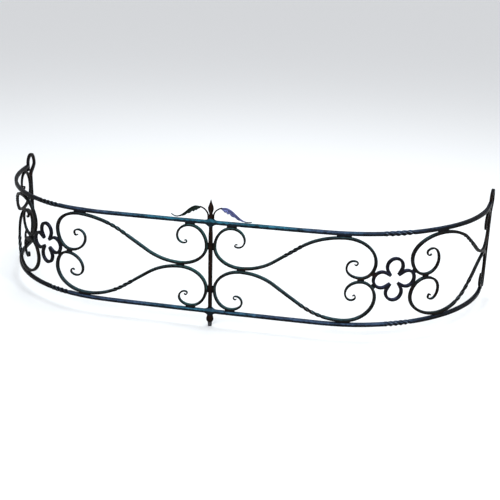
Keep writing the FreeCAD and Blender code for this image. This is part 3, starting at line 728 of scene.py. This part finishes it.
# ---------------------------------------------------------------- materials
class Nodes:
    """Short calls for building a shader."""

    def __init__(self, name):
        self.material = bpy.data.materials.new(name)
        self.material.use_nodes = True
        self.tree = self.material.node_tree
        self.tree.nodes.clear()

    def add(self, kind, **values):
        node = self.tree.nodes.new(kind)
        for key, value in values.items():
            setattr(node, key, value)
        return node

    def link(self, a, b):
        self.tree.links.new(a, b)

    def noise(self, where, scale, detail, rough, distort=0.0):
        node = self.add("ShaderNodeTexNoise")
        for key, number in (("Scale", scale), ("Detail", detail), ("Roughness", rough),
                            ("Distortion", distort)):
            node.inputs[key].default_value = number
        self.link(where, node.inputs["Vector"])
        return node.outputs["Fac"]

    def mark(self, word):
        return self.add("ShaderNodeAttribute", attribute_name=word).outputs["Fac"]

    def split(self, vector):
        node = self.add("ShaderNodeSeparateXYZ")
        self.link(vector, node.inputs[0])
        return node.outputs

    def span(self, value, low, high, to_low=0.0, to_high=1.0):
        node = self.add("ShaderNodeMapRange", clamp=True)
        self.link(value, node.inputs["Value"])
        for key, number in (("From Min", low), ("From Max", high), ("To Min", to_low), ("To Max", to_high)):
            node.inputs[key].default_value = number
        return node.outputs["Result"]

    def math(self, operation, *values):
        node = self.add("ShaderNodeMath", operation=operation)
        for i, value in enumerate(values):
            if isinstance(value, (int, float)):
                node.inputs[i].default_value = value
            else:
                self.link(value, node.inputs[i])
        return node.outputs[0]

    def plus(self, a, b):
        return self.math("ADD", a, b)

    def minus(self, a, b):
        return self.math("SUBTRACT", a, b)

    def times(self, a, b):
        return self.math("MULTIPLY", a, b)

    def mix(self, share, a, b):
        node = self.add("ShaderNodeMix", data_type="RGBA")
        self.link(share, node.inputs[0])
        for i, value in ((6, a), (7, b)):
            if isinstance(value, tuple):
                node.inputs[i].default_value = (*value, 1.0)
            else:
                self.link(value, node.inputs[i])
        return node.outputs[2]


# noises: scale, detail, roughness, distortion
BROAD = (22, 5, 0.6, 0.6)
MIDDLE = (105, 5, 0.6, 0.3)
FINE = (620, 4, 0.65)
SPECKS = (1900, 2, 0.5)
DRIFT = (5.5, 2, 0.5, 0.4)
PATCHES = (17, 8, 0.7, 1.4)
# fades of the painted reflection, in metres: (from, to, share there, share there)
TOP_FADE_Y = (-0.20, -0.02, 1.0, 0.30)
LEFT_FADE_X = (-0.54, -0.34, 0.18, 1.0)
RIGHT_FADE_X = (0.57, 0.70, 1.0, 0.40)
LOW_FADE_Z = (0.06, 0.30, 0.22, 0.0)
COOLING_X = (0.08, 0.42)           # metres from the middle over which the painted reflection turns from its middle colour to its outer colour
SKY = (0.42, 0.86)                 # direction (X, Z) of the painted light: faces that look towards it get the painted reflection

RUST = (0.036, 0.012, 0.004)
PAINTED_GLINT = (0.30, 0.37, 0.42)      # painted highlight on the high edges of the twists
PAINTED_SHADE = (0.0020, 0.0018, 0.0020)    # painted shade on the faces between them


def forged_iron(name, dark, patina, middle_reflection, outer_reflection, rusting, rough, front, top=1.0, bump=0.35, rust=RUST):
    """Blackened forged iron: scale and patina, a painted reflection on upper and front faces, rust, wear,
    painted glints and shade on twists.

    The painted reflection's colour runs from its middle colour at the middle of the screen to its outer
    colour further out.
    """
    n = Nodes(name)
    where = n.add("ShaderNodeTexCoord").outputs["Object"]
    broad = n.noise(where, *BROAD)
    middle = n.noise(where, *MIDDLE)
    fine = n.noise(where, *FINE)
    specks = n.noise(where, *SPECKS)
    facing = n.split(n.add("ShaderNodeNewGeometry").outputs["Normal"])
    spot = n.split(where)
    wear_and_glint = n.mark("wear_and_glint")

    # how much of the painted reflection shows: on each bar's lit side, on faces towards the painted light,
    # forward or back
    ragged = n.plus(n.mark("lit_side"), n.times(n.minus(middle, 0.5), 0.9))
    upper = n.span(ragged, 0.05, 0.45, 0.05, 1.0)
    skyward = n.plus(n.times(facing["Z"], SKY[1]), n.times(facing["X"], SKY[0]))
    upward = n.times(n.span(skyward, 0.30, 0.86, 0.0, top), n.span(spot["Y"], *TOP_FADE_Y))
    forward = n.span(facing["Y"], -0.70, -0.96, 0.0, front)
    backward = n.span(facing["Y"], 0.60, 0.97, 0.0, 0.45 * front)
    painted_reflection = n.times(n.math("MAXIMUM", upward, n.math("MAXIMUM", forward, backward)), upper)
    for fade in (n.span(spot["X"], *LEFT_FADE_X), n.span(spot["X"], *RIGHT_FADE_X),
                 n.span(broad, 0.34, 0.54, 0.40, 1.0), n.span(middle, 0.32, 0.60, 0.50, 1.0)):
        painted_reflection = n.times(painted_reflection, fade)

    # colour: scale and patina, painted reflection, rust, worn corners, painted glints on the twists' edges,
    # painted shade on their faces, fine dark specks
    colour = n.mix(n.span(broad, 0.38, 0.66), dark, patina)
    drift = n.times(n.minus(n.noise(where, *DRIFT), 0.5), 0.9)
    outwards = n.plus(n.math("ABSOLUTE", spot["X"]), n.plus(drift, n.span(spot["Z"], *LOW_FADE_Z)))
    colour = n.mix(painted_reflection, colour, n.mix(n.span(outwards, *COOLING_X), middle_reflection, outer_reflection))
    patches = n.noise(where, *PATCHES)
    rusty = n.span(patches, 0.70 - 0.32 * rusting, 0.84 - 0.30 * rusting, 0.0, 0.9)
    rusty = n.times(rusty, n.span(fine, 0.30, 0.60, 0.25, 1.0))
    rusty = n.times(rusty, n.minus(1.0, n.times(painted_reflection, 0.6)))
    colour = n.mix(rusty, colour, rust)
    worn = n.times(n.span(wear_and_glint, 0.25, 0.95), n.span(middle, 0.46, 0.64))
    colour = n.mix(n.times(worn, 0.6), colour, tuple(3.0 * c + 0.09 for c in patina))
    # painted highlight along the twists' high edges
    glint = n.times(n.span(wear_and_glint, 0.70, 1.10), n.span(middle, 0.34, 0.54, 0.35, 1.0))
    colour = n.mix(glint, colour, PAINTED_GLINT)
    # painted shade on the twists' faces between those edges
    colour = n.mix(n.span(wear_and_glint, -0.50, -0.05, 0.85, 0.0), colour, PAINTED_SHADE)
    colour = n.mix(n.span(fine, 0.55, 0.75, 0.0, 0.4), colour, tuple(0.35 * c for c in dark))
    shader = n.add("ShaderNodeBsdfPrincipled")
    n.link(colour, shader.inputs["Base Color"])

    # gloss: the painted reflection is the shiniest, rust the dullest
    metal = n.minus(n.plus(n.times(painted_reflection, 0.15), 0.72), n.times(rusty, 0.45))
    n.link(metal, shader.inputs["Metallic"])
    grain = n.plus(n.times(middle, 0.7), n.times(fine, 0.3))
    roughness = n.plus(n.span(grain, 0.3, 0.7, rough - 0.09, rough + 0.14), n.times(rusty, 0.22))
    roughness = n.minus(roughness, n.times(worn, 0.12))
    n.link(roughness, shader.inputs["Roughness"])
    shader.inputs["Specular IOR Level"].default_value = 0.14
    shader.inputs["Specular Tint"].default_value = (0.36, 0.34, 0.33, 1.0)
    shader.inputs["Coat Weight"].default_value = 0.04
    shader.inputs["Coat Roughness"].default_value = 0.30

    # relief: pits in the scale over the coarser and finer grain
    pits = n.add("ShaderNodeTexVoronoi", feature="SMOOTH_F1")
    pits.inputs["Scale"].default_value = 165
    pits.inputs["Smoothness"].default_value = 0.6
    n.link(where, pits.inputs["Vector"])
    height = n.times(pits.outputs["Distance"], 0.9)
    for value, share in ((middle, 0.55), (fine, 0.22), (specks, 0.05), (rusty, 0.12)):
        height = n.plus(height, n.times(value, share))
    relief = n.add("ShaderNodeBump")
    relief.inputs["Strength"].default_value = bump
    relief.inputs["Distance"].default_value = 0.0011
    n.link(height, relief.inputs["Height"])
    n.link(relief.outputs["Normal"], shader.inputs["Normal"])
    out = n.add("ShaderNodeOutputMaterial")
    n.link(shader.outputs[0], out.inputs["Surface"])
    return n.material


# the third and fourth colours of each finish below are its painted reflection, near the middle of the screen
# and further out
rail_iron = forged_iron(
    "rail_iron", dark=(0.0034, 0.0028, 0.0028), patina=(0.0065, 0.0080, 0.0110),
    middle_reflection=(0.036, 0.185, 0.275), outer_reflection=(0.062, 0.105, 0.190), rusting=0.15, rough=0.34, front=0.95)
scroll_iron = forged_iron(
    "scroll_iron", dark=(0.0046, 0.0027, 0.0018), patina=(0.0085, 0.0070, 0.0062),
    middle_reflection=(0.050, 0.165, 0.165), outer_reflection=(0.046, 0.108, 0.130), rusting=0.40, rough=0.36, front=0.50)
petal_iron = forged_iron(
    "petal_iron", dark=(0.0032, 0.0026, 0.0030), patina=(0.0070, 0.0068, 0.0095),
    middle_reflection=(0.034, 0.070, 0.110), outer_reflection=(0.045, 0.055, 0.120), rusting=0.34, rough=0.38, front=0.55)
brown_iron = forged_iron(
    "brown_post_iron", dark=(0.0046, 0.0018, 0.0010), patina=(0.0110, 0.0052, 0.0030),
    middle_reflection=(0.018, 0.011, 0.009), outer_reflection=(0.014, 0.010, 0.011), rusting=0.62, rough=0.46, front=0.4,
    top=0.8, rust=(0.028, 0.009, 0.0035))
end_iron = forged_iron(
    "end_post_iron", dark=(0.0045, 0.0026, 0.0020), patina=(0.0095, 0.0064, 0.0054),
    middle_reflection=(0.028, 0.060, 0.080), outer_reflection=(0.026, 0.055, 0.095), rusting=0.44, rough=0.40, front=0.60,
    rust=(0.030, 0.010, 0.005))
# the two leaves are lit and shaded copies of one finish: the right leaf's has a bright violet painted
# reflection, the left leaf's is darker for the leaf in shade
lit_leaf_iron = forged_iron(
    "lit_violet_leaf_iron", dark=(0.0060, 0.0042, 0.0050), patina=(0.0170, 0.0180, 0.0400),
    middle_reflection=(0.165, 0.185, 0.430), outer_reflection=(0.090, 0.120, 0.300), rusting=0.40, rough=0.30, front=0.9,
    bump=0.22)
shaded_leaf_iron = forged_iron(
    "shaded_green_leaf_iron", dark=(0.0035, 0.0040, 0.0030), patina=(0.0090, 0.0110, 0.0085),
    middle_reflection=(0.020, 0.046, 0.036), outer_reflection=(0.016, 0.026, 0.030), rusting=0.34, rough=0.34, front=0.5,
    top=0.8, bump=0.22)
weld_iron = forged_iron(
    "weld_iron", dark=(0.0028, 0.0024, 0.0026), patina=(0.0058, 0.0056, 0.0066),
    middle_reflection=(0.018, 0.030, 0.042), outer_reflection=(0.016, 0.020, 0.036), rusting=0.36, rough=0.50, front=0.3,
    top=0.8, bump=0.55)
stub_metal = forged_iron(
    "grey_stub_metal", dark=(0.024, 0.024, 0.025), patina=(0.052, 0.052, 0.053),
    middle_reflection=(0.110, 0.110, 0.114), outer_reflection=(0.090, 0.092, 0.100), rusting=0.12, rough=0.48, front=0.7,
    top=0.7, bump=0.25, rust=(0.026, 0.019, 0.015))
leaf_iron = {1: lit_leaf_iron, -1: shaded_leaf_iron}

# ---------------------------------------------------------------- rails, posts, leaves
# profiles (radius, height) of the round pieces: the bud above the top rail, the others above z = 0
BUD = [(5.0, 22.0), (5.0, 24.0), (5.0, 27.0), (6.8, 32.0), (8.5, 38.5), (8.0, 44.5), (5.7, 51.0),
       (3.5, 57.0), (1.9, 62.5), (0.4, 67.2)]
KNOB = [(5.0, -33.0), (7.1, -32.4), (9.9, -28.0), (10.7, -22.0), (8.6, -14.0), (6.6, -10.5),
        (5.4, -9.0)]
STUB = [(4.6, -46.0), (5.5, -45.6), (5.7, -44.6), (6.0, -40.0), (6.3, -34.0), (6.3, -32.2),
        (5.0, -31.5)]

top_end = HALF_LENGTH + LOOP_FRONT[0] - LOOP_BAR / 2 + RAIL_BITE
low_end = HALF_LENGTH - RAIL / 2 + RAIL_BITE
place("forged_top_rail", bar(rail_path(RAIL_GAP, top_end, TOP_TWISTS), 11),
      rail_iron, "rail_iron", "top_rail")
place("forged_bottom_rail", bar(rail_path(0.0, low_end, BOTTOM_TWISTS), 12),
      rail_iron, "rail_iron", "bottom_rail")
place("forged_centre_post", bar(post_path(), 13, hammer=0.4), brown_iron, "brown_post_iron", "centre_post")
place("bud_finial", turned(BUD, RAIL_GAP, 21, lobes=5, depth=0.10, spiral=0.9),
      brown_iron, "brown_post_iron", "post_finial")
place("round_foot_knob", turned(KNOB, 0.0, 22, hammer=0.4), brown_iron, "brown_post_iron", "foot_knob")
place("grey_foot_stub", turned(STUB, 0.0, 23, hammer=0.08), stub_metal, "grey_stub_metal", "foot_stub")
for side, word in SIDES:
    place(word + "_forged_end_post", bar(end_post_path(side), 31 + side, hammer=0.42, wobble=0.1),
          end_iron, "end_post_iron", word + "_end_post")
    place(word + "_bent_stem", bar(stem_path(side), 35 + side, corner=0.5, hammer=0.12, wobble=0.0),
          brown_iron, "brown_post_iron", word + "_leaf_stem")
    place(word + "_acanthus_blade", leaf_mesh(side, 41 + side),
          leaf_iron[side], "leaf_iron", word + "_leaf_blade")

# ---------------------------------------------------------------- scrolls and quatrefoils
seed = 100
for side, word in SIDES:
    for outer, ring_word in ((False, "inner"), (True, "outer")):
        for upper, level_word in ((True, "upper"), (False, "lower")):
            name = word + "_" + ring_word + "_" + level_word
            seed += 1
            place(name + "_forged_scroll", bar(scroll_path(name, side, outer, upper), seed, round_ends=True),
                  scroll_iron, "scroll_iron", name + "_scroll")
    for turns, petal_word in enumerate(("top", "outer", "bottom", "inner")):
        seed += 1
        place(word + "_" + petal_word + "_forged_petal", bar(petal_path(side, turns), seed, blunt=1.6),
              petal_iron, "petal_iron", word + "_" + petal_word + "_petal")

# ---------------------------------------------------------------- welds
beads = {name: [] for name in ("top_rail_welds", "bottom_rail_welds", "waist_welds", "curl_welds",
                               "centre_post_welds", "end_post_welds", "quatrefoil_welds")}
seed = 500
for side, word in SIDES:
    quatrefoil_s, quatrefoil_rise = QUATREFOILS[side]
    for outer, ring_word in ((False, "inner"), (True, "outer")):
        lobe_s = (HALF_LENGTH - quatrefoil_s if outer else quatrefoil_s) - PETAL_CENTRE
        bigs = []
        for sign, level_word, group in ((1, "upper", "top_rail_welds"), (-1, "lower", "bottom_rail_welds")):
            small = SMALL_CURLS[level_word]
            big = BIG_CURLS[word + "_" + ring_word + "_" + level_word]
            bigs.append(big)
            for (s, rise), size, bend, run in ((small[2], SMALL_BARS[2], SMALL_BEND, SMALL_RAIL_RUN),
                                               (big[0], BIG_BARS[0], BIG_BEND, BIG_RAIL_RUN)):
                seed += 1
                gap = RAIL_FACE - rise - size / 2
                beads[group].append(weld(from_post(s, side, outer), MID + sign * (RAIL_FACE - gap / 2), 0.0,
                                         gap, run, seed, sign * bend))
            seed += 1
            gap = small[1][0] - RAIL / 2 - SMALL_BARS[1] / 2
            group = "end_post_welds" if outer else "centre_post_welds"
            beads[group].append(weld(from_post(RAIL / 2 + gap / 2, side, outer), MID + sign * small[1][1],
                                     math.pi / 2, gap, POST_RUN, seed))
            seed += 1
            s, rise, lean, gap = petal_gap(big, (lobe_s, sign * quatrefoil_rise))
            tilt = (sign * lean + math.pi / 2) * (-side if outer else side)
            beads["quatrefoil_welds"].append(weld(from_post(s, side, outer), MID + sign * rise, tilt,
                                                  gap, PETAL_RUN, seed))
        waist_s, waist_rise = SMALL_CURLS["upper"][0]
        curl_s = (bigs[0][2][0] + bigs[1][2][0]) / 2
        curl_rise = bigs[0][2][1]
        for s, rise, size, group, run in ((waist_s, waist_rise, SMALL_BARS[0], "waist_welds", WAIST_RUN),
                                          (curl_s, curl_rise, BIG_BARS[2], "curl_welds", CURL_RUN)):
            seed += 1
            beads[group].append(weld(from_post(s, side, outer), MID, 0.0, 2 * rise - size, run, seed))
for group, parts in beads.items():
    place("beads_" + group, joined(parts), weld_iron, "weld_iron", group)

# ---------------------------------------------------------------- stage, light, camera
FLOOR_HALF = 40.0                  # metres


def area_light(name, place_at, target, size, energy, colour):
    """Softbox aimed at a point."""
    data = bpy.data.lights.new(name, "AREA")
    data.shape = "RECTANGLE"
    data.size, data.size_y = size
    data.energy = energy
    data.color = colour
    lamp = bpy.data.objects.new(name, data)
    lamp.location = place_at
    lamp.rotation_euler = (Vector(target) - Vector(place_at)).to_track_quat("-Z", "Y").to_euler()
    bpy.context.scene.collection.objects.link(lamp)


paper = bpy.data.materials.new("studio_floor")
paper.use_nodes = True
matt = paper.node_tree.nodes["Principled BSDF"]
matt.inputs["Base Color"].default_value = (0.86, 0.86, 0.86, 1)
matt.inputs["Roughness"].default_value = 0.9
corners = [(x * FLOOR_HALF, y * FLOOR_HALF, FLOOR_Z) for x, y in ((-1, -1), (1, -1), (1, 1), (-1, 1))]
mesh = bpy.data.meshes.new("studio_floor")
mesh.from_pydata(corners, [], [(0, 1, 2, 3)])
mesh.materials.append(paper)
floor = bpy.data.objects.new("studio_floor", mesh)
bpy.context.scene.collection.objects.link(floor)
floor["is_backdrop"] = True

world = bpy.data.worlds.new("studio")
world.use_nodes = True
sky = world.node_tree.nodes["Background"]
sky.inputs["Color"].default_value = (0.95, 0.97, 1.0, 1)
sky.inputs["Strength"].default_value = 0.80
bpy.context.scene.world = world
area_light("key", (-0.6, -3.4, 2.6), (0, -0.1, 0.2), (2.4, 1.4), 64, (0.86, 0.94, 1.0))
area_light("overhead", (0.4, 0.6, 3.2), (0, 0, 0.2), (3.2, 1.6), 58, (0.90, 0.96, 1.0))
area_light("right_fill", (3.0, -1.6, 2.2), (0.2, 0, 0.2), (1.2, 1.6), 34, (1.0, 0.97, 0.94))

# the camera's place from the centre post's foot, in heights between the rails
GAP = RAIL_GAP * MM
CAMERA_AT = Vector((2.245 * GAP, PLAN_Y * MM - 8.393 * GAP, BASE_Z * MM + 3.677 * GAP))
YAW, PITCH, ROLL = 0.2136, 0.3298, 0.0257
ahead = Vector((-math.sin(YAW) * math.cos(PITCH), math.cos(YAW) * math.cos(PITCH), -math.sin(PITCH)))
right = Vector((math.cos(YAW), math.sin(YAW), 0))
up = right.cross(ahead)
image_right = right * math.cos(ROLL) + up * math.sin(ROLL)
image_up = up * math.cos(ROLL) - right * math.sin(ROLL)
camera_data = bpy.data.cameras.new("camera")
camera_data.sensor_width = 36.0
camera_data.lens = 62.82936
camera_data.clip_end = 200.0
camera = bpy.data.objects.new("camera", camera_data)
turn = Matrix((image_right, image_up, -ahead)).transposed()
camera.matrix_world = Matrix.Translation(CAMERA_AT) @ turn.to_4x4()
bpy.context.scene.collection.objects.link(camera)
bpy.context.scene.camera = camera
bpy.context.scene.view_settings.view_transform = "Standard"

size = {"cad": [[float(v) for v in corner] for corner in cad_bounds],
        "visual": [[float(v) for v in corner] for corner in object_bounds()]}
